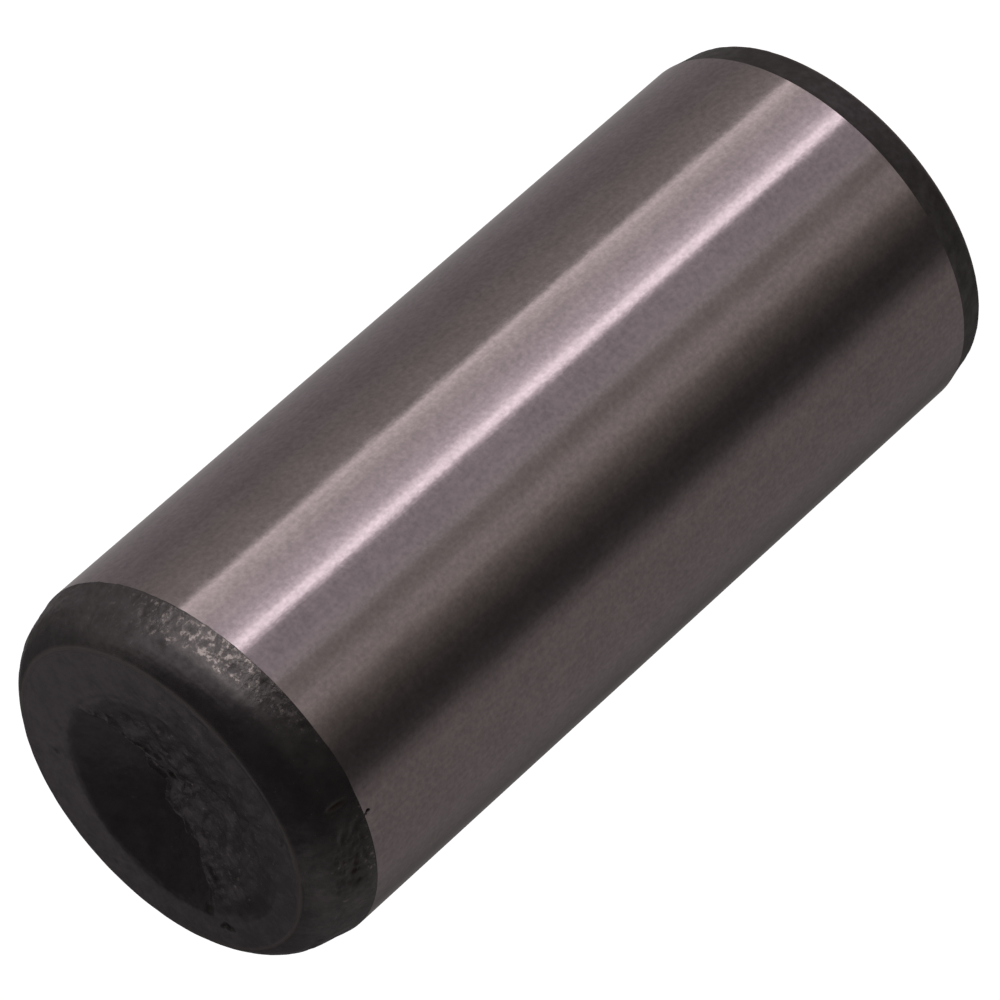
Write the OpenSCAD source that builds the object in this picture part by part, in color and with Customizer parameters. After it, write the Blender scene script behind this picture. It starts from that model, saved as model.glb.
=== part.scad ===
// Hardened steel dowel pin, forged at its head end and then ground to size along the shank.
// It stands on its plain end. The origin is the centre of that end, and +Z runs up the axis
// to the head end, which is dished and keeps the dark skin of the forging.

/* [Ground shank] */
// Diameter of the ground shank
shank_d = 12; // [10.5:0.1:20]
// Length of the ground band along the axis
ground_l = 25.2; // [6:0.1:80]

/* [Plain end] */
// Length of the lead-in taper along the axis
lead_l = 1; // [0.5:0.1:3]
// Angle between the lead-in taper and the axis
lead_angle = 11.5; // [5:0.5:30]
// Radius of the edge between the lead-in taper and the end face
foot_edge_r = 0.15; // [0.05:0.05:0.4]

/* [Head end] */
// Length of the forged shoulder above the ground band, along the axis
shoulder_l = 0.95; // [0.6:0.05:2]
// Angle between the forged shoulder and the axis
shoulder_angle = 13.5; // [8:0.5:20]
// Length of the pressed cone above the shoulder, along the axis
cone_l = 0.85; // [0.4:0.05:1.5]
// Angle between the pressed cone and the axis
cone_angle = 42; // [25:1:50]
// Radius of the blend between the shoulder and the cone
blend_r = 0.7; // [0.2:0.1:1]
// Radius of the edge between the cone and the end face
rim_edge_r = 0.15; // [0.05:0.05:0.3]
// Distance of the forged blank's axis from the ground axis
blank_shift = 0.04; // [0:0.01:0.1]
// Depth of the stock that grinding takes off the blank
grinding_stock = 0.15; // [0.12:0.01:0.3]

/* [Dish] */
// Diameter of the dish at the end face
dish_d = 7.4; // [5:0.1:8]
// Depth of the smooth side of the dish below the end face
dish_depth = 1.1; // [0.7:0.05:2]
// Depth of the torn side of the dish below the end face
torn_depth = 0.5; // [0.2:0.05:0.6]
// Diameter of the flat floor of the dish
dish_floor_d = 1.8; // [1:0.1:3]
// Radius of the blend between the floor and the sloping side of the dish
dish_blend_r = 1.2; // [0.3:0.1:2]
// Width of the bevel round the lip of the dish
dish_lip = 0.12; // [0.05:0.01:0.2]
// Distance of the dish's centre from the pin's axis along X, towards -X
dish_shift_x = 0.33; // [0:0.01:0.6]
// Distance of the dish's centre from the pin's axis along Y, towards -Y
dish_shift_y = 0.1; // [0:0.01:0.6]

/* [Hidden] */

// Extra length of a cutting or trimming body past the face that it crosses
over = 1;
// Number of points on each rounded corner of a profile
corner_steps = 6;
// Ragged step between the torn side and the smooth side, seen along the axis, in radii of the dish
tear_line = [
    [1.3, 0.12], [0.92, 0.01], [0.78, -0.07], [0.62, -0.04], [0.48, -0.09], [0.34, 0.02], [0.18, 0.01],
    [0.08, 0.24], [-0.1, 0.23], [-0.2, 0.31], [-0.32, 0.27], [-0.46, 0.42], [-0.62, 0.47], [-1.3, 1]
];
// Corners that close the tear line round the smooth side of the dish
smooth_side = [[-1.3, 1.3], [1.3, 1.3]];

shank_r = shank_d / 2;
foot_r = shank_r - lead_l * tan(lead_angle);
ground_top = lead_l + ground_l;
shoulder_top = ground_top + shoulder_l;
pin_l = shoulder_top + cone_l;
cone_r = shank_r - shoulder_l * tan(shoulder_angle);
face_r = cone_r - cone_l * tan(cone_angle);
blank_r = shank_r + grinding_stock;
blank_top = ground_top - grinding_stock / tan(shoulder_angle);
dish_r = dish_d / 2;
dish_floor_r = dish_floor_d / 2;

// Unit vector from one point of a profile towards another
function towards(from, to) = (to - from) / norm(to - from);

// Points of an arc of radius r that rounds the corner at q, between the points p and s
function rounded(p, q, s, r) =
    let (
        u = towards(q, p),
        v = towards(q, s),
        half = acos(u * v) / 2,
        centre = q + towards([0, 0], u + v) * r / sin(half),
        first = q + u * r / tan(half) - centre,
        last = q + v * r / tan(half) - centre,
        turn = cross(first, last) > 0 ? 1 : -1,
        sweep = turn * (180 - 2 * half)
    )
    [
        for (i = [0 : corner_steps])
            let (a = sweep * i / corner_steps)
            centre + [first.x * cos(a) - first.y * sin(a), first.x * sin(a) + first.y * cos(a)]
    ];

// The bar as the grinding wheel leaves it: true shank, lead-in taper and plain end face
module ground_bar() {
    axis_end = [0, 0];
    foot_edge = [foot_r, 0];
    shank_end = [shank_r, lead_l];
    rotate_extrude($fn = 96)
        polygon(concat(
            [axis_end],
            rounded(axis_end, foot_edge, shank_end, foot_edge_r),
            [shank_end, [shank_r, pin_l + over], [0, pin_l + over]]
        ));
}

// The blank as it leaves the die: shoulder, pressed cone and end face, a little over size
module forged_blank() {
    blank_edge = [blank_r, blank_top];
    ridge = [cone_r, shoulder_top];
    rim = [face_r, pin_l];
    axis_top = [0, pin_l];
    rotate_extrude($fn = 96)
        polygon(concat(
            [[0, -over], [blank_r, -over], blank_edge],
            rounded(blank_edge, ridge, rim, blend_r),
            rounded(ridge, rim, axis_top, rim_edge_r),
            [axis_top]
        ));
}

// The form of a punch that sinks the dish to the given depth below z = 0
module dish_punch(depth) {
    floor_centre = [0, -depth];
    floor_edge = [dish_floor_r, -depth];
    lip = [dish_r, 0];
    side = towards(floor_edge, lip);
    rotate_extrude($fn = 96)
        polygon(concat(
            [floor_centre],
            rounded(floor_centre, floor_edge, lip, dish_blend_r),
            [lip - side * dish_lip, lip + [dish_lip, 0], [dish_r + dish_lip, over], [0, over]]
        ));
}

// The dish: shallow where its skin is torn, and deeper where the punch left it smooth
module dish() {
    dish_punch(torn_depth);
    intersection() {
        dish_punch(dish_depth);
        translate([0, 0, -dish_depth - over])
            linear_extrude(height = dish_depth + 3 * over)
                polygon(concat(tear_line, smooth_side) * dish_r);
    }
}

// The whole pin: the ground bar limited by its forged head end, with the dish sunk in that end
module dowel_pin() {
    color([0.36, 0.34, 0.35])
        difference() {
            intersection() {
                ground_bar();
                translate([blank_shift, 0, 0])
                    forged_blank();
            }
            translate([-dish_shift_x, -dish_shift_y, pin_l])
                dish();
        }
}

dowel_pin();
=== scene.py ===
"""A ground steel dowel pin with a black, dished head end, standing on its plain end on a pale floor."""
import math
from types import SimpleNamespace

import bpy
import numpy as np
from mathutils import Matrix, Vector, noise


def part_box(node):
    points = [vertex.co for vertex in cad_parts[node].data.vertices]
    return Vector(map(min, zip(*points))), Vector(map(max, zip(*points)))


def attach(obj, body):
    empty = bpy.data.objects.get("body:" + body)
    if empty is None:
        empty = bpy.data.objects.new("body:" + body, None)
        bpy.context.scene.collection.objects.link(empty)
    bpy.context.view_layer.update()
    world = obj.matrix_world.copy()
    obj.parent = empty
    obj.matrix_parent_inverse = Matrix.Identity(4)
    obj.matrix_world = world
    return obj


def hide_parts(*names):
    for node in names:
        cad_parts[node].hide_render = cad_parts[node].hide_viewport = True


bl_info = {
    "name": "Dowel Pin",
    "version": (1, 0, 0),
    "blender": (4, 5, 0),
    "location": "3D View > Sidebar > Dowel Pin",
    "description": "Models a forged and ground dowel pin and the studio that it stands in",
    "category": "Object",
}

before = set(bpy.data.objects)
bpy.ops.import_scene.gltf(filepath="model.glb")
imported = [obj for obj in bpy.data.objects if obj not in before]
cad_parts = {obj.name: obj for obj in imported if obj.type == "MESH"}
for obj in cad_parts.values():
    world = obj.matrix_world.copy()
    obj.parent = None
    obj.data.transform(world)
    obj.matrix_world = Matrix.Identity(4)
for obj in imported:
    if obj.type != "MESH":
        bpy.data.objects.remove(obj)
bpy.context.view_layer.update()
NODE = "dowel_pin"
MM = 0.001
LOW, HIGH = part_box(NODE)
SHANK_D = round((HIGH.x - LOW.x) / MM, 1) * MM
PIN_L = round((HIGH.z - LOW.z) / MM, 1) * MM


def linear(hex_colour):
    """An sRGB hex colour as linear red, green, blue and alpha."""
    parts = [int(hex_colour[i:i + 2], 16) / 255 for i in (0, 2, 4)]
    return tuple(c / 12.92 if c <= 0.04045 else ((c + 0.055) / 1.055) ** 2.4 for c in parts) + (1.0,)


class PinSizes(bpy.types.PropertyGroup):
    """Sizes of the pin"""

    shank_d: bpy.props.FloatProperty(
        name="Shank diameter", description="Diameter of the ground shank", default=SHANK_D, unit="LENGTH")
    pin_l: bpy.props.FloatProperty(
        name="Length", description="Overall length", default=PIN_L, unit="LENGTH")
    lead_l: bpy.props.FloatProperty(
        name="Lead-in length", description="Length of the lead-in taper", default=1 * MM, unit="LENGTH")
    lead_angle: bpy.props.FloatProperty(
        name="Lead-in angle", description="Angle between the lead-in taper and the axis",
        default=math.radians(11.5), subtype="ANGLE")
    foot_edge_r: bpy.props.FloatProperty(
        name="Foot edge", description="Radius round the plain end face", default=0.15 * MM, unit="LENGTH")
    shoulder_l: bpy.props.FloatProperty(
        name="Shoulder length", description="Length of the forged shoulder", default=0.95 * MM, unit="LENGTH")
    shoulder_angle: bpy.props.FloatProperty(
        name="Shoulder angle", description="Angle between the forged shoulder and the axis",
        default=math.radians(13.5), subtype="ANGLE")
    cone_l: bpy.props.FloatProperty(
        name="Cone length", description="Length of the pressed cone", default=0.85 * MM, unit="LENGTH")
    cone_angle: bpy.props.FloatProperty(
        name="Cone angle", description="Angle between the pressed cone and the axis",
        default=math.radians(42), subtype="ANGLE")
    blend_r: bpy.props.FloatProperty(
        name="Blend", description="Radius between the shoulder and the cone", default=1.1 * MM, unit="LENGTH")
    cone_bulge: bpy.props.FloatProperty(
        name="Cone bulge", description="Height of the pressed cone's middle over a straight cone",
        default=0.06 * MM, unit="LENGTH")
    cone_r: bpy.props.FloatProperty(
        name="Cone curve", description="Radius of the curve of the pressed cone",
        default=1.9 * MM, unit="LENGTH")
    rim_edge_r: bpy.props.FloatProperty(
        name="Rim edge", description="Radius round the end face", default=0.1 * MM, unit="LENGTH")
    blank_shift: bpy.props.FloatProperty(
        name="Blank shift", description="Distance of the forged end from the ground axis",
        default=0.04 * MM, unit="LENGTH")
    stock: bpy.props.FloatProperty(
        name="Grinding stock", description="Depth that grinding takes off the blank",
        default=0.12 * MM, unit="LENGTH")
    dish_d: bpy.props.FloatProperty(
        name="Dish diameter", description="Diameter of the dish", default=7.4 * MM, unit="LENGTH")
    dish_depth: bpy.props.FloatProperty(
        name="Dish depth", description="Depth of the smooth side of the dish",
        default=1.1 * MM, unit="LENGTH")
    torn_depth: bpy.props.FloatProperty(
        name="Torn depth", description="Depth of the torn side of the dish",
        default=0.5 * MM, unit="LENGTH")
    dish_floor_d: bpy.props.FloatProperty(
        name="Dish floor", description="Diameter of the dish floor", default=1.8 * MM, unit="LENGTH")
    dish_blend_r: bpy.props.FloatProperty(
        name="Dish blend", description="Radius between the floor and side of the dish",
        default=1.2 * MM, unit="LENGTH")
    dish_lip: bpy.props.FloatProperty(
        name="Dish lip", description="Width of the bevel round the dish", default=0.12 * MM, unit="LENGTH")
    dish_shift_x: bpy.props.FloatProperty(
        name="Dish shift X", description="Place of the dish's centre along X",
        default=-0.33 * MM, unit="LENGTH")
    dish_shift_y: bpy.props.FloatProperty(
        name="Dish shift Y", description="Place of the dish's centre along Y",
        default=-0.1 * MM, unit="LENGTH")


class PinFinish(bpy.types.PropertyGroup):
    """Colours and polish of the two finishes"""

    steel: bpy.props.FloatVectorProperty(
        name="Steel", description="Colour of the ground steel",
        default=linear("D2C3C5"), size=4, subtype="COLOR")
    steel_dark: bpy.props.FloatVectorProperty(
        name="Dark steel", description="Colour of the darker grains of the ground steel",
        default=linear("B4A7A9"), size=4, subtype="COLOR")
    steel_roughness: bpy.props.FloatProperty(
        name="Steel roughness", description="Roughness of the ground steel", default=0.1, subtype="FACTOR")
    skin: bpy.props.FloatVectorProperty(
        name="Skin", description="Colour of the forging scale",
        default=linear("2D2B2B"), size=4, subtype="COLOR")
    skin_light: bpy.props.FloatVectorProperty(
        name="Light skin", description="Colour of the scale where it is thin",
        default=linear("453C3E"), size=4, subtype="COLOR")
    rust: bpy.props.FloatVectorProperty(
        name="Rust", description="Colour of the brown scale in the pits",
        default=linear("40362E"), size=4, subtype="COLOR")
    # Bare steel, partly real wear and partly painted glints and edge highlights
    worn_steel_and_glint: bpy.props.FloatVectorProperty(
        name="Worn steel", description="Colour of the steel where the scale is rubbed off",
        default=linear("C4BAB9"), size=4, subtype="COLOR")


class PinStudio(bpy.types.PropertyGroup):
    """Place of the camera and strength of the floor's light"""

    elevation: bpy.props.FloatProperty(
        name="Elevation", description="Height of the camera over the pin's middle",
        default=math.radians(29.9), subtype="ANGLE")
    roll: bpy.props.FloatProperty(
        name="Roll", description="Turn of the picture against an upright pin",
        default=math.radians(131.6), subtype="ANGLE")
    distance: bpy.props.FloatProperty(
        name="Distance", description="From the camera to the pin's middle", default=0.231, unit="LENGTH")
    lens: bpy.props.FloatProperty(
        name="Lens", description="Focal length in millimetres", default=301.9, unit="CAMERA")
    floor_glow: bpy.props.FloatProperty(
        name="Floor glow", description="Light that the white paper sends to the camera", default=1.0)


def in_millimetres(sizes):
    """The sizes as plain numbers: lengths in millimetres, angles in radians."""
    units = {name: 1 if name.endswith("angle") else MM for name in PinSizes.__annotations__}
    return SimpleNamespace(**{name: getattr(sizes, name) / unit for name, unit in units.items()})


def add_node(tree, kind, inputs=None, **settings):
    """Adds a node, sets it up, and fills or links its inputs."""
    made = tree.nodes.new(kind)
    for name, value in settings.items():
        setattr(made, name, value)
    for name, value in (inputs or {}).items():
        if isinstance(value, bpy.types.NodeSocket):
            tree.links.new(value, made.inputs[name])
        else:
            made.inputs[name].default_value = value
    return made


def deselect():
    """Leaves nothing selected, so that the next operator acts only on what it adds."""
    if bpy.context.object and bpy.context.object.mode == "EDIT":
        bpy.ops.object.mode_set(mode="OBJECT")
    bpy.ops.object.select_all(action="DESELECT")


def pick(piece):
    """Makes one piece selected and active."""
    deselect()
    piece.select_set(True)
    bpy.context.view_layer.objects.active = piece


def rounded(before, corner, after, radius, steps=5):
    """Points of an arc that rounds a corner of a profile."""
    before, corner, after = (np.array(p, float) for p in (before, corner, after))
    u = (before - corner) / np.linalg.norm(before - corner)
    v = (after - corner) / np.linalg.norm(after - corner)
    half = math.acos(np.clip(u @ v, -1, 1)) / 2
    middle = (u + v) / np.linalg.norm(u + v)
    centre = corner + middle * radius / math.sin(half)
    first = corner + u * radius / math.tan(half) - centre
    last = corner + v * radius / math.tan(half) - centre
    turn = 1 if first[0] * last[1] - first[1] * last[0] > 0 else -1
    sweep = turn * (math.pi - 2 * half)
    points = []
    for i in range(steps + 1):
        c, s = math.cos(sweep * i / steps), math.sin(sweep * i / steps)
        points.append(centre + (first[0] * c - first[1] * s, first[0] * s + first[1] * c))
    return points


def divided(points, step):
    """The same profile with a point at least every step, so that its rings can carry relief."""
    out = [np.array(points[0], float)]
    for p in points[1:]:
        start, p = out[-1], np.array(p, float)
        parts = max(1, math.ceil(np.linalg.norm(p - start) / step))
        out += [start + (p - start) * i / parts for i in range(1, parts + 1)]
    return out


# Faces round the pin, and the greatest distance between rings on the relief and on plain surfaces, in mm
SEGMENTS = 560
FINE_STEP = 0.055
PLAIN_STEP = 0.5


def face_radius(s):
    """Radius at which the pressed cone would meet the end face, without the round of the rim."""
    return s.shank_d / 2 - s.shoulder_l * math.tan(s.shoulder_angle) - s.cone_l * math.tan(s.cone_angle)


def blank_profile(s):
    """Half section of the forged blank from the foot's centre, up the side and into the dish."""
    shank_r = s.shank_d / 2
    foot = (shank_r - s.lead_l * math.tan(s.lead_angle), 0)
    wide_r = shank_r + s.stock
    lead_top = (wide_r, s.lead_l + s.stock / math.tan(s.lead_angle))
    shoulder_top = s.pin_l - s.cone_l
    ground_top = shoulder_top - s.shoulder_l
    ridge = (shank_r - s.shoulder_l * math.tan(s.shoulder_angle), shoulder_top)
    shoulder_foot = (wide_r, ground_top - s.stock / math.tan(s.shoulder_angle))
    rim = (face_radius(s), s.pin_l)
    outwards = np.array((s.cone_l, ridge[0] - rim[0])) / math.hypot(s.cone_l, ridge[0] - rim[0])
    knee = (np.array(ridge) + rim) / 2 + outwards * 2 * s.cone_bulge
    lip = np.array((s.dish_d / 2, s.pin_l))
    floor_z = s.pin_l - s.torn_depth
    floor_edge = np.array((s.dish_floor_d / 2, floor_z))
    down = (floor_edge - lip) / np.linalg.norm(floor_edge - lip)
    foot_side = [(0, 0)] + rounded((0, 0), foot, lead_top, s.foot_edge_r, 3)
    head_side = (
        [shoulder_foot] + rounded(shoulder_foot, ridge, knee, s.blend_r)
        + rounded(ridge, knee, rim, s.cone_r)
        + rounded(knee, rim, (0, s.pin_l), s.rim_edge_r, 4)
        + [lip + (s.dish_lip, 0), lip + down * s.dish_lip]
        + rounded(lip, floor_edge, (0, floor_z), s.dish_blend_r)
        + [(0, floor_z)]
    )
    taper = divided([foot_side[-1], lead_top], FINE_STEP)[1:]
    return divided(foot_side, PLAIN_STEP) + taper + divided(head_side, FINE_STEP)


def lathe(name, profile):
    """A closed body of revolution: the profile is drawn by extruding one corner, then spun round Z."""
    deselect()
    start = profile[0]
    bpy.ops.mesh.primitive_plane_add(size=1, location=(start[0], 0, start[1]))
    body = bpy.context.object
    body.name = name
    bpy.ops.object.mode_set(mode="EDIT")
    bpy.ops.mesh.merge(type="CENTER")
    for here, there in zip(profile, profile[1:]):
        step = (there[0] - here[0], 0, there[1] - here[1])
        bpy.ops.mesh.extrude_region_move(TRANSFORM_OT_translate={"value": step})
    bpy.ops.mesh.select_all(action="SELECT")
    bpy.ops.mesh.spin(steps=SEGMENTS, angle=2 * math.pi, center=(0, 0, 0), axis=(0, 0, 1))
    bpy.ops.mesh.select_all(action="SELECT")
    bpy.ops.mesh.remove_doubles(threshold=1e-5)
    bpy.ops.mesh.normals_make_consistent(inside=False)
    bpy.ops.object.mode_set(mode="OBJECT")
    bpy.ops.object.transform_apply(location=True, rotation=True, scale=True)
    return body


def places(body):
    """The corners of a body as rows of x, y, z."""
    out = np.empty(len(body.data.vertices) * 3, np.float32)
    body.data.vertices.foreach_get("co", out)
    return out.reshape(-1, 3).astype(float)


# Steps between no weight and full weight of a corner, and the least move that gets a modifier, in mm
WEIGHT_STEPS = 4000
LEAST_MOVE = 1e-6


def displace(body, name, amounts, direction):
    """Moves each corner by its own amount through Displace modifiers, one for each sign."""
    for sign in (1, -1):
        part = np.clip(sign * amounts, 0, None)
        most = part.max()
        if most < LEAST_MOVE:
            continue
        group = body.vertex_groups.new(name=name)
        levels = np.rint(part / most * WEIGHT_STEPS).astype(int)
        order = np.argsort(levels, kind="stable")
        starts = np.nonzero(np.diff(levels[order], prepend=-1))[0]
        for chunk in np.split(order, starts[1:]):
            level = int(levels[chunk[0]])
            if level:
                group.add(chunk.tolist(), level / WEIGHT_STEPS, "REPLACE")
        modifier = body.modifiers.new(name, "DISPLACE")
        modifier.vertex_group = group.name
        modifier.direction = direction
        modifier.strength = sign * most
        modifier.mid_level = 0
        pick(body)
        bpy.ops.object.modifier_apply(modifier=modifier.name)
        body.vertex_groups.clear()


def smooth_step(x, low, high):
    """Rises softly from 0 where x is low to 1 where it is high."""
    t = np.clip((x - low) / (high - low), 0, 1)
    return t * t * (3 - 2 * t)


def bell(x, middle, width):
    """1 at the middle, falling softly to about a third at one width from it."""
    return np.exp(-((x - middle) / width) ** 2)


def angle_round(p):
    """The angle of each corner round the pin, from -Y towards +X, in degrees."""
    return np.degrees(np.arctan2(p[:, 0], -p[:, 1]))


# How far apart in the noise two seeds with neighbouring numbers lie
SEED_STEP = Vector((7.31, 3.17, 5.73))


def fractal(points, chosen, scale, seed, octaves=4):
    """Fractal noise of about -1 to 1 at the chosen points, with its coarsest lumps about scale mm across."""
    offset = seed * SEED_STEP
    scale = np.broadcast_to(scale, 3)
    out = np.zeros(len(points))
    for i in np.nonzero(chosen)[0]:
        out[i] = noise.fractal(Vector(points[i] / scale) + offset, 1.0, 2.0, octaves)
    return out


# Ragged step between the torn and the smooth side of the dish, seen along the axis, in radii of the dish
TEAR_LINE = (
    (-1.3, 1), (-0.62, 0.47), (-0.46, 0.42), (-0.32, 0.27), (-0.2, 0.31), (-0.1, 0.23), (0.08, 0.24),
    (0.18, 0.01), (0.34, 0.02), (0.48, -0.09), (0.62, -0.04), (0.78, -0.07), (0.92, 0.01), (1.3, 0.12),
)
# Pits of the end face: x, y, half length along x, half length along y, depth, all in mm
FACE_PITS = (
    (-3.71, 1.88, 0.17, 0.12, 0.12), (-3.62, 2.02, 0.06, 0.22, 0.08), (-3.86, 1.74, 0.12, 0.07, 0.08),
    (1.45, -0.34, 0.13, 0.16, 0.08), (0.31, -0.55, 0.2, 0.1, 0.08), (2.18, -1.5, 0.2, 0.13, 0.03),
    (-3.05, 2.1, 0.12, 0.2, 0.07), (2.9, 2.6, 0.08, 0.1, 0.03), (-0.4, 4.3, 0.1, 0.08, 0.03),
)
# Shallow hollows of the end face, where the punch pressed in scale that has since come off
FACE_HOLLOWS = (
    (-3.5, -0.4, 0.6, 1.4, 0.08), (1.35, -2.75, 0.6, 0.3, 0.03), (-1.7, -2.2, 0.4, 0.6, 0.04),
    (-0.7, -1.7, 0.5, 0.4, 0.04), (-2.6, -3.1, 0.5, 0.5, 0.03), (2.4, -2.9, 0.5, 0.7, 0.02),
)
# Lumps of torn skin that stand up: the same five numbers, the last a height
FACE_LUMPS = (
    (-0.3, -0.75, 0.24, 0.5, 0.09), (2.5, -0.65, 0.34, 0.22, 0.06), (1.0, -0.55, 0.3, 0.2, 0.07),
    (0.6, -1.3, 0.5, 0.25, 0.05), (-1.4, 0.3, 0.3, 0.4, 0.05), (-2.4, 1.2, 0.25, 0.3, 0.05),
)
# Gouges and dents of the sides: angle from -Y towards +X, height, half width round, half height, depth
SIDE_MARKS = (
    (-32.7, 26.75, 0.1, 0.34, 0.05), (-39.4, 25.92, 0.07, 0.1, 0.129), (-48, 26.8, 0.5, 0.25, 0.012),
    (-57, 26.7, 0.5, 0.3, 0.012), (33, 27.3, 0.2, 0.12, 0.02), (118, 26.8, 0.3, 0.16, 0.03),
    (163, 27.1, 0.35, 0.12, 0.03), (-128, 26.7, 0.2, 0.2, 0.03),
)


def marks(across, along, rows):
    """Depth of the chosen marks at each point, each a rounded pit with soft edges."""
    out = np.zeros(len(across))
    for place_a, place_b, half_a, half_b, depth in rows:
        far = np.hypot((across - place_a) / half_a, (along - place_b) / half_b)
        out = np.maximum(out, depth * (1 - smooth_step(far, 0.25, 1.25)))
    return out


# Heights of the end face's relief in mm: lumps and crumbs of the torn skin and how far it lies sunk, the
# ledge along the tear, the drag marks of the punch, the crown of the land and the scale on it
TORN_LUMPS = 0.06
TORN_CRUMBS = 0.014
TORN_SUNK = 0.03
LEDGE_HEIGHT = 0.05
DRAG_HEIGHT = 0.01
CROWN_HEIGHT = 0.014
LAND_SCALE = 0.005
# The crown's half width, the softness of the tear where it is sharp, and what is added where it is smeared
CROWN_HALF = 0.65
SHARP_TEAR = 0.055
SMEARED_TEAR = 0.11
# How far below the torn side's floor a corner still counts as one of the end face, in mm
MARGIN = 0.1


def face_relief(p, s):
    """Height of the end face over the lathed form, and how torn, how lumpy and how pitted it is."""
    x, y, z = p.T
    r = np.hypot(x, y)
    # The relief takes the face's radius to a tenth of a millimetre
    face_r = round(face_radius(s), 1)
    face = (z > s.pin_l - s.torn_depth - MARGIN) & (r < face_r)
    # Places in the dish, in radii of the dish from its centre
    dish_r = s.dish_d / 2
    dish_x = (x - s.dish_shift_x) / dish_r
    dish_y = (y - s.dish_shift_y) / dish_r
    out = np.hypot(dish_x, dish_y)
    in_dish = 1 - smooth_step(out, 0.94, 1.0)
    wander = fractal(p, face, 0.8, seed=1)
    bent = fractal(p, face, 0.5, seed=9, octaves=3)
    # The smooth side lies past the tear line, whose step is smeared towards -X
    past = (dish_y - np.interp(dish_x, *zip(*TEAR_LINE))) * dish_r + 0.13 * wander
    smeared = smooth_step(-dish_x, -0.05, 0.35)
    smooth = smooth_step(past / (SHARP_TEAR + SMEARED_TEAR * smeared), -1, 1)
    # The tear runs out over the land on the -Y side, and stops short of the rim
    near = smooth_step(-y, 0.8, 2.6) * smooth_step(x, -4.4, -3) * (1 - smooth_step(x, 0.8, 3.2))
    near = near * (1 - smooth_step(r, face_r - 0.25, face_r - 0.03))
    torn = (1 - smooth) * np.maximum(1 - smooth_step(out, 0.75, 1.05), 0.75 * near)
    coarse = fractal(p, face & (torn > 0), (0.75, 1.3, 1.0), seed=2)
    small = fractal(p, face & (torn > 0), (0.34, 0.6, 0.5), seed=4, octaves=2)
    height = torn * (TORN_LUMPS * coarse + TORN_CRUMBS * small - TORN_SUNK)
    ledge = bell(past, -0.13, 0.12) * in_dish * (1 - 0.8 * smeared)
    height += LEDGE_HEIGHT * ledge * (1 + coarse)
    lumps = torn * marks(x + 0.13 * bent, y + 0.22 * wander, FACE_LUMPS)
    height += lumps
    # The punch left its drag marks on the smooth side, which it sank deeper
    drag = fractal(p, face & (smooth > 0) & (out < 1), (0.22, 1.4, 1.0), seed=6)
    height += DRAG_HEIGHT * drag * smooth * in_dish
    deep = np.clip((1 - out) / (1 - s.dish_floor_d / s.dish_d), 0, 1)
    height -= smooth * deep * (s.dish_depth - s.torn_depth)
    pits = marks(x + 0.07 * bent, y + 0.1 * wander, FACE_PITS) * (0.8 + 0.5 * wander)
    height -= pits + marks(x + 0.08 * bent, y + 0.2 * wander, FACE_HOLLOWS)
    crown = np.clip((r - face_r) / CROWN_HALF + 1, -1, 1) ** 2 * (1 - in_dish)
    height -= CROWN_HEIGHT * crown
    height -= LAND_SCALE * np.abs(fractal(p, face & (torn < 0.1), 0.6, seed=8))
    torn = torn + 0.5 * ledge
    return [np.where(face, values, 0) for values in (height, torn, lumps, pits)]


# Places round the head, each with its middle and its width in degrees from -Y towards +X: where the smooth
# band that the die pressed dips into the shoulder, the brown patch, the rubbed side where the strip light is
# mirrored and the painted glints gather, where the painted rim highlight is faint, and the spot on the cone
# where the gloss is turned down
PRESSED_DIP = (-24, 13)
BROWN_PATCH = (-51, 11)
RUBBED_GLINT_SIDE = (20, 24)
FAINT_RIM_HIGHLIGHT = (-16, 17)
DIMMED_SPOT = (76, 9)
# Depths of the side's relief in mm: the pits, the even roughness of the scaly part, its flakes, the faint
# scale of the pressed part and of the lead-in taper, and how deep the scuffs of the plain end look, which
# sets their rust and painted shade
PIT_DEPTH = 0.045
SCALY_DEPTH = 0.01
FLAKE_DEPTH = 0.018
FAINT_DEPTH = 0.006
SCUFF_RUST_AND_SHADE = 0.02


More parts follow.
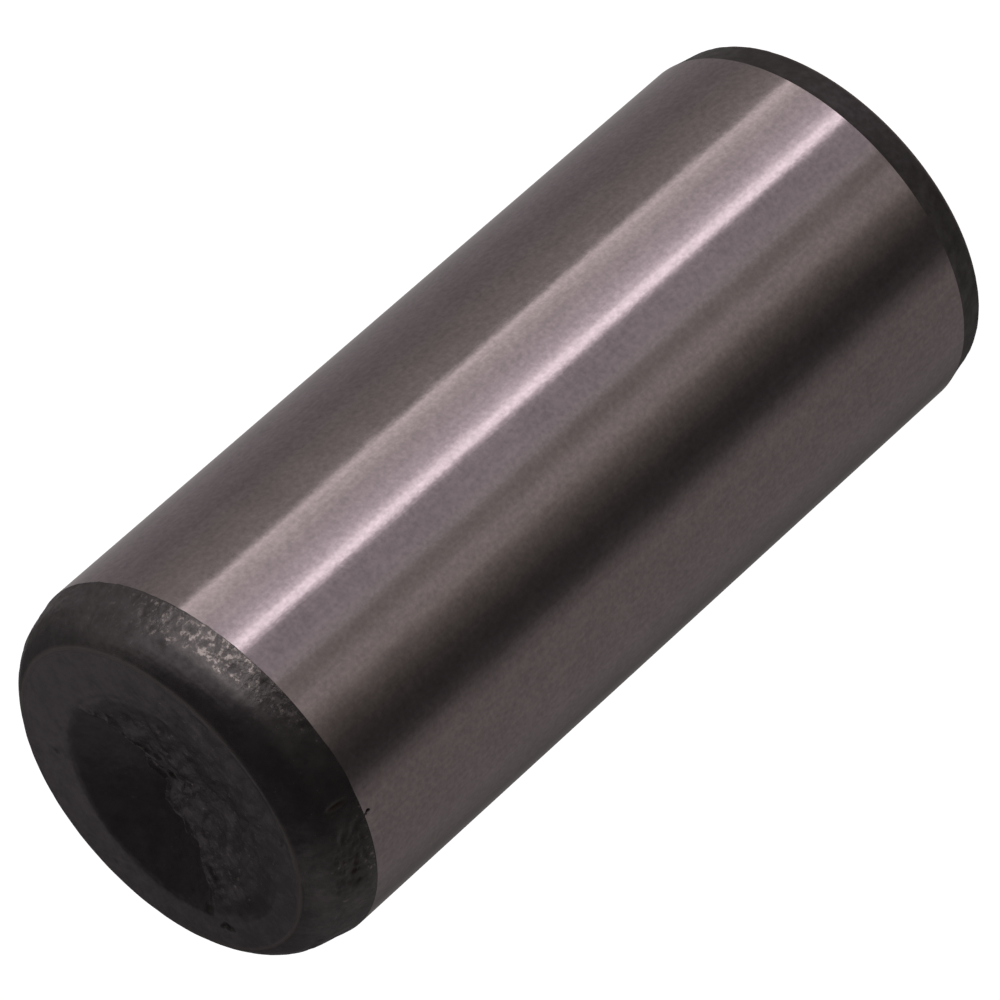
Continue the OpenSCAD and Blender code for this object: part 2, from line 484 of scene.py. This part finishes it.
def side_relief(p, s):
    """Depth taken off the cone and shoulder, how rough they are, and how much rust and painted shade their
    pits, gouges and scuffs get.
    """
    x, y, z = p.T
    r = np.hypot(x, y)
    arc = angle_round(p)
    ground_top = s.pin_l - s.cone_l - s.shoulder_l
    side = (z > ground_top - 0.6) & (r > round(face_radius(s), 1) - 0.05)
    wander = fractal(p, side, 1.1, seed=11)
    # The die pressed a band below the rim smooth, widest on the side of the dip
    pressed = 0.4 + 0.62 * np.clip(np.cos(np.radians(arc + 10)), 0, 1) ** 3 + 1.2 * bell(arc, *PRESSED_DIP)
    pressed_to = s.pin_l - pressed + 0.12 * wander
    rough = smooth_step(pressed_to - z, -0.08, 0.26)
    clean_edge = smooth_step(z, ground_top - 0.02, ground_top + 0.22)
    grain = fractal(p, side & (rough > 0), 0.36, seed=3)
    pits = smooth_step(grain, 0.05, 0.75) * (0.25 + 0.4 * smooth_step(wander, 0.1, 0.7)) * PIT_DEPTH
    # Scale has flaked off on the +X side and in the brown patch
    flaked = 0.5 * smooth_step(arc, 42, 60) * smooth_step(180 - arc, 0, 30) + bell(arc, *BROWN_PATCH)
    flakes = fractal(p, side & (flaked > 0.05), 0.2, seed=14)
    depth = rough * clean_edge * (SCALY_DEPTH * (1 + grain) + pits + FLAKE_DEPTH * flaked * (1 + flakes))
    depth += FAINT_DEPTH * (1 + fractal(p, side, 0.5, seed=12)) * (1 - rough)
    gouges = np.zeros(len(p))
    for mark_angle, height, half_w, half_h, deep in SIDE_MARKS:
        round_it = np.radians(arc - mark_angle) * r
        bent = (round_it + 0.25 * half_w * grain, z + 0.09 * wander)
        gouges = np.maximum(gouges, marks(*bent, ((0, height, half_w, half_h, deep),)))
    gouges = gouges * (0.85 + 0.4 * grain)
    depth += gouges
    taper = (z > 0.02) & (z < s.lead_l - 0.05)
    plain_end = z < s.pin_l / 2
    scuffs = 1 + fractal(p, plain_end, 0.3, seed=13)
    depth += np.where(taper, FAINT_DEPTH * scuffs, 0)
    # Pits, the brown patch, gouges and the plain end's scuffs get rust and painted shade, more where deeper
    brown = flaked * (0.008 + PIT_DEPTH * smooth_step(flakes, -0.1, 0.6))
    pit_rust_and_shade = np.where(side, rough * clean_edge * (pits + brown) + 1.6 * np.minimum(gouges, PIT_DEPTH), 0)
    pit_rust_and_shade += np.where(plain_end, SCUFF_RUST_AND_SHADE * scuffs, 0)
    return np.where(side | taper, np.clip(depth, 0, None), 0), np.where(side, rough, 0), pit_rust_and_shade


def keep_values(body, name, values):
    """Stores one number from 0 to 1 for each corner, for the materials to read."""
    kept = np.clip(values, 0, 1).astype(np.float32)
    body.data.attributes.new(name, "FLOAT", "POINT").data.foreach_set("value", kept)


def forge_relief(body, s):
    """Gives the blank what the die, the shears and the furnace leave: lumps, pits, torn skin and nicks."""
    p = places(body)
    dish_r = s.dish_d / 2
    # The forged end sits off the ground axis, and its shift grows along the shank, where grinding hides it
    head = smooth_step(p[:, 2], 2, s.pin_l - 3)
    displace(body, "blank_shift", head * s.blank_shift, "X")
    inside = 1 - smooth_step(np.hypot(p[:, 0], p[:, 1]), dish_r + 0.15, dish_r + 1.0)
    inside = inside * (p[:, 2] > s.pin_l - s.torn_depth - MARGIN)
    displace(body, "dish_shift_x", inside * (s.dish_shift_x - s.blank_shift), "X")
    displace(body, "dish_shift_y", inside * s.dish_shift_y, "Y")
    p = places(body)
    x, y, z = p.T
    arc = angle_round(p)
    from_axis = np.hypot(x - s.blank_shift, y)
    face_r = round(face_radius(s), 1)
    height, torn, lumps, face_pits = face_relief(p, s)
    depth, rough, side_rust_and_shade = side_relief(p, s)
    # The scale is rubbed off to bare steel along the rim of the head and round the foot, partly real wear and
    # partly a painted edge highlight, which is faint near -Y; a thin share of bare steel on the rough +X side
    # of the shoulder is a painted sheen
    rim = bell(from_axis, face_r - 0.01, 0.06) * (z > s.pin_l - 0.12) * (0.9 - 0.8 * bell(arc, *FAINT_RIM_HIGHLIGHT))
    foot_rim = (1 - smooth_step(z, 0.04, 0.14)) * (from_axis > s.shank_d / 2 - 0.5)
    sheen_side = rough * smooth_step(arc, 38, 60)
    keep_values(body, "rubbed_and_highlight", rim + foot_rim + 0.11 * sheen_side)
    # Painted sheen: the scale's gloss grows towards +X on the face, where the light comes from. It is also
    # lighter on raised lumps, turned down at one spot on the cone and over the plain end, and fades where it
    # is torn
    on_face = (from_axis < face_r) & (z > s.pin_l - 0.3)
    dimmed_gloss = bell(arc, *DIMMED_SPOT) * bell(z, s.pin_l - 0.6, 0.3) + 0.7 * (z < 2)
    blotches = fractal(p, torn > 0, 0.55, seed=15, octaves=3)
    tone = 0.5 + np.where(on_face, 0.09 * x, 0) - 0.3 * dimmed_gloss - torn * (0.17 - 0.6 * blotches)
    keep_values(body, "tone", tone + 7 * lumps)
    # The scaly part is rougher, with more bare steel specks and so more painted glints, on the side where the
    # strip light is mirrored, and in the brown patch
    rough = rough * (0.3 + 0.7 * bell(arc, *RUBBED_GLINT_SIDE) + 0.4 * bell(arc, *BROWN_PATCH))
    keep_values(body, "rough", rough + 0.4 * torn)
    # Rust and painted shade of the pits, gouges and scuffs, by their depth
    keep_values(body, "pits", (face_pits + side_rust_and_shade) / 0.07)
    displace(body, "face_relief", np.minimum(height, s.pin_l - z), "Z")
    displace(body, "side_relief", -depth, "NORMAL")


# Repeats for each millimetre of the ground steel's patterns. The wheel's real marks lie about 0.03 mm apart,
# too fine to show, so they are drawn 0.07 mm apart. Grains are 0.15 mm and clouds 1.1 mm across, and the
# streaks run 4 mm along the pin.
GRINDING_MARKS = (2.5, 2.5, 14)
STEEL_GRAINS = 6.5
STEEL_CLOUDS = 0.9
STEEL_STREAKS = (9, 9, 0.25)
# Repeats for each millimetre of the scale's patterns: patches 0.55 mm across, grains and bumps about 0.15 mm
SCALE_PATCHES = 1.8
SCALE_GRAINS = 6
SCALE_BUMPS = 7
# Heights of the finest relief, which is too fine for the mesh
MARK_HEIGHT = 0.0009 * MM
BUMP_HEIGHT = 0.022 * MM
# Tint of the scale's gloss, where it is thickest and where it is thinnest
THICK_TINT = (0.45, 0.425, 0.44, 1)
THIN_TINT = (1.0, 0.92, 0.96, 1)


def ground_steel(finish):
    """Hardened steel, centreless ground: nearly a mirror, with fine marks that run round the shank."""
    material = bpy.data.materials.new("ground_steel")
    material.use_nodes = True
    tree = material.node_tree
    shader = tree.nodes["Principled BSDF"]
    place = add_node(tree, "ShaderNodeTexCoord")
    to_mm = add_node(
        tree, "ShaderNodeMapping", {"Vector": place.outputs["Object"], "Scale": (1 / MM,) * 3})
    stretched = add_node(tree, "ShaderNodeMapping", {"Vector": to_mm.outputs[0], "Scale": GRINDING_MARKS})
    lines = add_node(
        tree, "ShaderNodeTexNoise",
        {"Vector": stretched.outputs[0], "Scale": 1, "Detail": 3, "Roughness": 0.6})
    grain = add_node(
        tree, "ShaderNodeTexNoise",
        {"Vector": to_mm.outputs[0], "Scale": STEEL_GRAINS, "Detail": 3, "Roughness": 0.6})
    cloud = add_node(
        tree, "ShaderNodeTexNoise",
        {"Vector": to_mm.outputs[0], "Scale": STEEL_CLOUDS, "Detail": 5, "Roughness": 0.7})
    drawn = add_node(tree, "ShaderNodeMapping", {"Vector": to_mm.outputs[0], "Scale": STEEL_STREAKS})
    streaks = add_node(
        tree, "ShaderNodeTexNoise",
        {"Vector": drawn.outputs[0], "Scale": 1, "Detail": 3, "Roughness": 0.6})
    height = add_node(
        tree, "ShaderNodeMath", {0: lines.outputs["Fac"], 1: 0.8, 2: grain.outputs["Fac"]},
        operation="MULTIPLY_ADD")
    bump = add_node(
        tree, "ShaderNodeBump", {"Height": height.outputs[0], "Strength": 1.0, "Distance": MARK_HEIGHT})
    tree.links.new(bump.outputs[0], shader.inputs["Normal"])
    # Grains, faint streaks and clouds of the ground surface, each a little lighter or darker than the next
    tone = grain.outputs["Fac"]
    for pattern, share in ((streaks, 0.35), (cloud, 0.5)):
        tone = add_node(
            tree, "ShaderNodeMath", {0: pattern.outputs["Fac"], 1: share, 2: tone},
            operation="MULTIPLY_ADD").outputs[0]
    spread = add_node(tree, "ShaderNodeMapRange", {"Value": tone, "From Min": 0.68, "From Max": 1.17})
    colour = add_node(
        tree, "ShaderNodeMix", {0: spread.outputs[0], 6: finish.steel_dark, 7: finish.steel},
        data_type="RGBA")
    tree.links.new(colour.outputs[2], shader.inputs["Base Color"])
    polish = add_node(
        tree, "ShaderNodeMapRange",
        {"Value": cloud.outputs["Fac"], "From Min": 0.3, "From Max": 0.7,
         "To Min": finish.steel_roughness, "To Max": finish.steel_roughness + 0.05})
    tree.links.new(polish.outputs[0], shader.inputs["Roughness"])
    shader.inputs["Metallic"].default_value = 1.0
    return material


def forging_skin(finish):
    """Black forging scale, a skin of magnetite: dark, half glossy, brown in its pits and rubbed to steel,
    with painted shade, glints, edge highlights and sheen.
    """
    material = bpy.data.materials.new("forging_skin")
    material.use_nodes = True
    tree = material.node_tree
    shader = tree.nodes["Principled BSDF"]
    place = add_node(tree, "ShaderNodeTexCoord")
    to_mm = add_node(
        tree, "ShaderNodeMapping", {"Vector": place.outputs["Object"], "Scale": (1 / MM,) * 3})
    rough, rubbed_and_highlight, pits, tone = (
        add_node(tree, "ShaderNodeAttribute", attribute_name=name).outputs["Fac"]
        for name in ("rough", "rubbed_and_highlight", "pits", "tone"))
    patches = add_node(
        tree, "ShaderNodeTexNoise",
        {"Vector": to_mm.outputs[0], "Scale": SCALE_PATCHES, "Detail": 6, "Roughness": 0.7})
    grain = add_node(
        tree, "ShaderNodeTexNoise",
        {"Vector": to_mm.outputs[0], "Scale": SCALE_GRAINS, "Detail": 4, "Roughness": 0.65})
    scale = add_node(
        tree, "ShaderNodeMix", {0: patches.outputs["Fac"], 6: finish.skin, 7: finish.skin_light},
        data_type="RGBA")
    browned = add_node(
        tree, "ShaderNodeMix", {0: pits, 6: scale.outputs[2], 7: finish.rust}, data_type="RGBA")
    # Steel shows where the scaly part is rubbed high and all along the rims, and never in a pit: partly real
    # wear, partly painted glints and edge highlights
    reach = add_node(
        tree, "ShaderNodeMath", {0: rough, 1: 0.22, 2: grain.outputs["Fac"]}, operation="MULTIPLY_ADD")
    unpitted = add_node(
        tree, "ShaderNodeMath", {0: pits, 1: -0.3, 2: reach.outputs[0]}, operation="MULTIPLY_ADD")
    specks = add_node(
        tree, "ShaderNodeMapRange", {"Value": unpitted.outputs[0], "From Min": 0.685, "From Max": 0.81})
    bare_and_glint = add_node(
        tree, "ShaderNodeMath", {0: rubbed_and_highlight, 1: 0.9, 2: specks.outputs[0]},
        operation="MULTIPLY_ADD", use_clamp=True)
    colour = add_node(
        tree, "ShaderNodeMix", {0: bare_and_glint.outputs[0], 6: browned.outputs[2], 7: finish.worn_steel_and_glint},
        data_type="RGBA")
    # Pits and rubbed places are duller, and a pit's gloss is turned down as painted shade
    dull = add_node(tree, "ShaderNodeMath", {0: pits, 1: 0.4, 2: 0.27}, operation="MULTIPLY_ADD")
    duller = add_node(
        tree, "ShaderNodeMath", {0: rubbed_and_highlight, 1: 0.3, 2: dull.outputs[0]}, operation="MULTIPLY_ADD")
    shine = add_node(tree, "ShaderNodeMath", {0: pits, 1: -0.42, 2: 0.5}, operation="MULTIPLY_ADD")
    # The scale's thickness varies with its patches and grains, and tints its gloss, together with the tone's
    # painted sheen towards +X
    mottled = tone
    for pattern, share in ((patches, 1.8), (grain, 1.2)):
        mottled = add_node(
            tree, "ShaderNodeMath", {0: pattern.outputs["Fac"], 1: share, 2: mottled},
            operation="MULTIPLY_ADD").outputs[0]
    thinness_and_sheen = add_node(tree, "ShaderNodeMapRange", {"Value": mottled, "From Min": 1.5, "From Max": 2.5})
    tint = add_node(
        tree, "ShaderNodeMix", {0: thinness_and_sheen.outputs[0], 6: THICK_TINT, 7: THIN_TINT}, data_type="RGBA")
    fine = add_node(
        tree, "ShaderNodeTexNoise",
        {"Vector": to_mm.outputs[0], "Scale": SCALE_BUMPS, "Detail": 4, "Roughness": 0.6})
    rise = add_node(tree, "ShaderNodeMath", {0: rough, 1: 0.8, 2: 0.2}, operation="MULTIPLY_ADD")
    bump = add_node(
        tree, "ShaderNodeBump",
        {"Height": fine.outputs["Fac"], "Strength": rise.outputs[0], "Distance": BUMP_HEIGHT})
    tree.links.new(colour.outputs[2], shader.inputs["Base Color"])
    tree.links.new(bare_and_glint.outputs[0], shader.inputs["Metallic"])
    tree.links.new(duller.outputs[0], shader.inputs["Roughness"])
    tree.links.new(shine.outputs[0], shader.inputs["Specular IOR Level"])
    tree.links.new(tint.outputs[2], shader.inputs["Specular Tint"])
    tree.links.new(bump.outputs[0], shader.inputs["Normal"])
    shader.inputs["IOR"].default_value = 2.9
    return material


class PIN_OT_build_pin(bpy.types.Operator):
    """Forges the blank, grinds its shank to size and gives each surface its finish"""

    bl_idname = "pin.build_pin"
    bl_label = "Dowel pin"

    def execute(self, context):
        s = in_millimetres(context.scene.pin_sizes)
        finish = context.scene.pin_finish
        steel, skin = ground_steel(finish), forging_skin(finish)
        blank = lathe("pin_blank", blank_profile(s))
        forge_relief(blank, s)
        deselect()
        # The ground bar is longer than the blank, and turned by half a face so that no edges lie in one line
        bpy.ops.mesh.primitive_cylinder_add(
            vertices=SEGMENTS, radius=s.shank_d / 2, depth=s.pin_l * 1.5, location=(0, 0, s.pin_l / 2),
            rotation=(0, 0, math.pi / SEGMENTS))
        bar = context.object
        bpy.ops.object.transform_apply(location=True, rotation=True, scale=True)
        for body, slot in ((blank, 1), (bar, 0)):
            body.data.materials.append(steel)
            body.data.materials.append(skin)
            body.data.polygons.foreach_set("material_index", [slot] * len(body.data.polygons))
        grind = blank.modifiers.new("grind", "BOOLEAN")
        grind.operation = "INTERSECT"
        grind.object = bar
        grind.solver = "EXACT"
        pick(blank)
        bpy.ops.object.modifier_apply(modifier="grind")
        bpy.data.objects.remove(bar)
        pin = blank
        pin.name = "ground_dowel_pin"
        pick(pin)
        bpy.ops.transform.resize(value=(MM, MM, MM), center_override=(0, 0, 0))
        bpy.ops.object.transform_apply(location=True, rotation=True, scale=True)
        bpy.ops.object.shade_smooth_by_angle(angle=math.radians(40))
        bpy.ops.object.mode_set(mode="EDIT")
        bpy.ops.mesh.select_mode(type="FACE")
        bpy.ops.mesh.select_all(action="DESELECT")
        pin.active_material_index = 0
        bpy.ops.object.material_slot_select()
        bpy.ops.mesh.region_to_loop()
        bpy.ops.mesh.mark_sharp()
        bpy.ops.object.mode_set(mode="OBJECT")
        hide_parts(NODE)
        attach(pin, "root")
        return {"FINISHED"}


# Light of the room by the angle from -Y towards +X, in degrees, as the steel mirrors it at each height:
# upright light boxes and dark curtains low down, the same softer at the head's height, and a dim room above.
# Each stop has its angle, its level and its warmth, from 0 for cool light to 1 for warm light.
SHANK_LIGHT = (
    (-180, 0.14, 0.5), (-154, 0.09, 0.5), (-125, 0.15, 0.5), (-76, 0.155, 0.6), (-66, 0.1, 0.6),
    (-60, 0.05, 0.4), (-50, 0.033, 0.4), (-42, 0.042, 0.6), (-33, 0.077, 1.0), (-25, 0.125, 1.0),
    (-17, 0.26, 0.8), (-9, 0.3, 0.6), (-2, 0.215, 0.8), (4, 0.215, 0.7), (7, 0.34, 0.4), (13, 0.32, 0),
    (30.4, 0.3, 0), (31.1, 1.6, 0), (35.2, 1.5, 0), (38, 0.85, 0), (44, 0.58, 0), (55, 0.48, 0.3),
    (63, 0.6, 0.5), (66.8, 0.68, 0.5), (68.3, 0.95, 0.4), (70, 0.95, 0.4), (70.8, 0.28, 0.6),
    (93, 0.2, 0.6), (111, 0.165, 0.3), (150, 0.22, 0.3), (180, 0.3, 0.5),
)
SHOULDER_LIGHT = (
    (-180, 0.05, 0.3), (-158, 0.06, 0.3), (-140, 0.13, 0.4), (-111, 0.13, 0.6), (-84, 0.07, 0.6),
    (-56, 0.02, 0.4), (-28, 0.05, 0.6), (0, 0.1, 0.6), (12, 0.28, 0.6), (19, 0.9, 0.7), (42, 0.75, 0.7),
    (62, 0.55, 0.5), (70, 0.3, 0.6), (84, 0.2, 0.6), (111, 0.19, 0.4), (133, 0.13, 0.3), (158, 0.06, 0.3),
    (180, 0.05, 0.3),
)
ROOM_LIGHT = (
    (-180, 0.17, 0.2), (-172, 0.12, 0.2), (-164, 0.065, 0.3), (-135, 0.065, 0.3), (-122, 0.15, 0.6),
    (-114, 0.17, 0.6), (-92, 0.08, 0.5), (-67, 0.02, 0.2), (0, 0.03, 0.2), (36, 0.26, 0.3), (67, 0.4, 0.4),
    (92, 0.25, 0.6), (114, 0.17, 0.8), (130, 0.1, 0.4), (150, 0.06, 0.3), (166, 0.07, 0.3),
    (173, 0.16, 0.2), (180, 0.17, 0.2),
)
# Light below all boxes and at the ceiling, and the heights in degrees between which each layer takes over
LOW_LIGHT = 0.14
CEILING_LIGHT = 0.035
LAYER_HEIGHTS = ((-50, -40), (-20, -12), (0, 36), (38, 56))
COOL_LIGHT = (1.0, 0.945, 1.0)
WARM_LIGHT = (1.0, 0.95, 0.86)


def tinted(level, warmth=0.5):
    """A level of the room's light as a colour."""
    return tuple(level * (c + (w - c) * warmth) for c, w in zip(COOL_LIGHT, WARM_LIGHT)) + (1.0,)


def studio_world():
    """A world that the camera sees as white, and the pin as light boxes, curtains and a ceiling."""
    world = bpy.data.worlds.new("studio")
    world.use_nodes = True
    tree = world.node_tree
    tree.nodes.clear()
    # The direction of a ray: its angle round the pin as a share of a full turn, and its height
    ray = add_node(tree, "ShaderNodeTexCoord")
    split = add_node(tree, "ShaderNodeSeparateXYZ", {0: ray.outputs["Generated"]})
    back = add_node(tree, "ShaderNodeMath", {0: split.outputs["Y"], 1: -1.0}, operation="MULTIPLY")
    turn = add_node(tree, "ShaderNodeMath", {0: split.outputs["X"], 1: back.outputs[0]}, operation="ARCTAN2")
    lift = add_node(tree, "ShaderNodeMath", {0: split.outputs["Z"]}, operation="ARCSINE")
    share = add_node(
        tree, "ShaderNodeMath", {0: turn.outputs[0], 1: 1 / (2 * math.pi), 2: 0.5}, operation="MULTIPLY_ADD")
    light = tinted(LOW_LIGHT)
    for stops, heights in zip((SHANK_LIGHT, SHOULDER_LIGHT, ROOM_LIGHT, None), LAYER_HEIGHTS):
        above = tinted(CEILING_LIGHT, 0)
        if stops:
            ramp = add_node(tree, "ShaderNodeValToRGB", {"Fac": share.outputs[0]})
            elements = ramp.color_ramp.elements
            while len(elements) < len(stops):
                elements.new(0.5)
            for element, (degrees, level, warmth) in zip(elements, stops):
                element.position = (degrees + 180) / 360
                element.color = tinted(level, warmth)
            above = ramp.outputs[0]
        low, high = (math.radians(height) for height in heights)
        blend = add_node(
            tree, "ShaderNodeMapRange", {"Value": lift.outputs[0], "From Min": low, "From Max": high},
            interpolation_type="SMOOTHSTEP")
        light = add_node(
            tree, "ShaderNodeMix", {0: blend.outputs[0], 6: light, 7: above}, data_type="RGBA").outputs[2]
    path = add_node(tree, "ShaderNodeLightPath")
    room = add_node(tree, "ShaderNodeBackground", {"Color": light})
    pale = add_node(tree, "ShaderNodeBackground", {"Color": (1, 1, 1, 1)})
    mix = add_node(
        tree, "ShaderNodeMixShader",
        {0: path.outputs["Is Camera Ray"], 1: room.outputs[0], 2: pale.outputs[0]})
    add_node(tree, "ShaderNodeOutputWorld", {"Surface": mix.outputs[0]})
    return world


class PIN_OT_build_stage(bpy.types.Operator):
    """Adds the pale floor, the soft studio light and the camera"""

    bl_idname = "pin.build_stage"
    bl_label = "Stage"

    def execute(self, context):
        scene = context.scene
        studio = scene.pin_studio
        deselect()
        bpy.ops.mesh.primitive_plane_add(size=8, location=(0, 0, 0))
        floor = context.object
        floor.name = "floor"
        material = bpy.data.materials.new("white_paper")
        material.use_nodes = True
        shader = material.node_tree.nodes["Principled BSDF"]
        shader.inputs["Base Color"].default_value = linear("F4F4F4")
        shader.inputs["Roughness"].default_value = 1.0
        shader.inputs["Emission Color"].default_value = (1, 1, 1, 1)
        shader.inputs["Emission Strength"].default_value = studio.floor_glow
        floor.data.materials.append(material)
        floor.visible_glossy = False
        floor.visible_diffuse = False
        scene.world = studio_world()
        camera_data = bpy.data.cameras.new("camera")
        camera = bpy.data.objects.new("camera", camera_data)
        scene.collection.objects.link(camera)
        camera_data.lens = studio.lens
        camera_data.sensor_width = 36
        camera_data.clip_start = 0.01
        camera_data.clip_end = 50
        lift = math.pi / 2 - studio.elevation
        aim = Matrix.Rotation(lift, 4, "X") @ Matrix.Rotation(-studio.roll, 4, "Z")
        back = Vector((0, -math.cos(studio.elevation), math.sin(studio.elevation)))
        middle = Vector((0, 0, scene.pin_sizes.pin_l / 2))
        camera.matrix_world = Matrix.Translation(middle + back * studio.distance) @ aim
        scene.camera = camera
        scene.view_settings.view_transform = "Standard"
        return {"FINISHED"}


class PIN_PT_panel(bpy.types.Panel):
    """Lists what can be built"""

    bl_idname = "PIN_PT_panel"
    bl_label = "Dowel Pin"
    bl_space_type = "VIEW_3D"
    bl_region_type = "UI"
    bl_category = "Dowel Pin"

    def draw(self, context):
        for operator in (PIN_OT_build_pin, PIN_OT_build_stage):
            self.layout.operator(operator.bl_idname)


CLASSES = (PinSizes, PinFinish, PinStudio, PIN_OT_build_pin, PIN_OT_build_stage, PIN_PT_panel)


def register():
    """Registers the classes and gives the scene its settings."""
    for item in CLASSES:
        bpy.utils.register_class(item)
    bpy.types.Scene.pin_sizes = bpy.props.PointerProperty(type=PinSizes)
    bpy.types.Scene.pin_finish = bpy.props.PointerProperty(type=PinFinish)
    bpy.types.Scene.pin_studio = bpy.props.PointerProperty(type=PinStudio)


def unregister():
    """Takes the settings and the classes away again."""
    for name in ("pin_sizes", "pin_finish", "pin_studio"):
        delattr(bpy.types.Scene, name)
    for item in reversed(CLASSES):
        bpy.utils.unregister_class(item)


def main():
    """Builds the stage and the pin."""
    register()
    bpy.ops.pin.build_stage()
    bpy.ops.pin.build_pin()


if __name__ == "__main__":
    main()
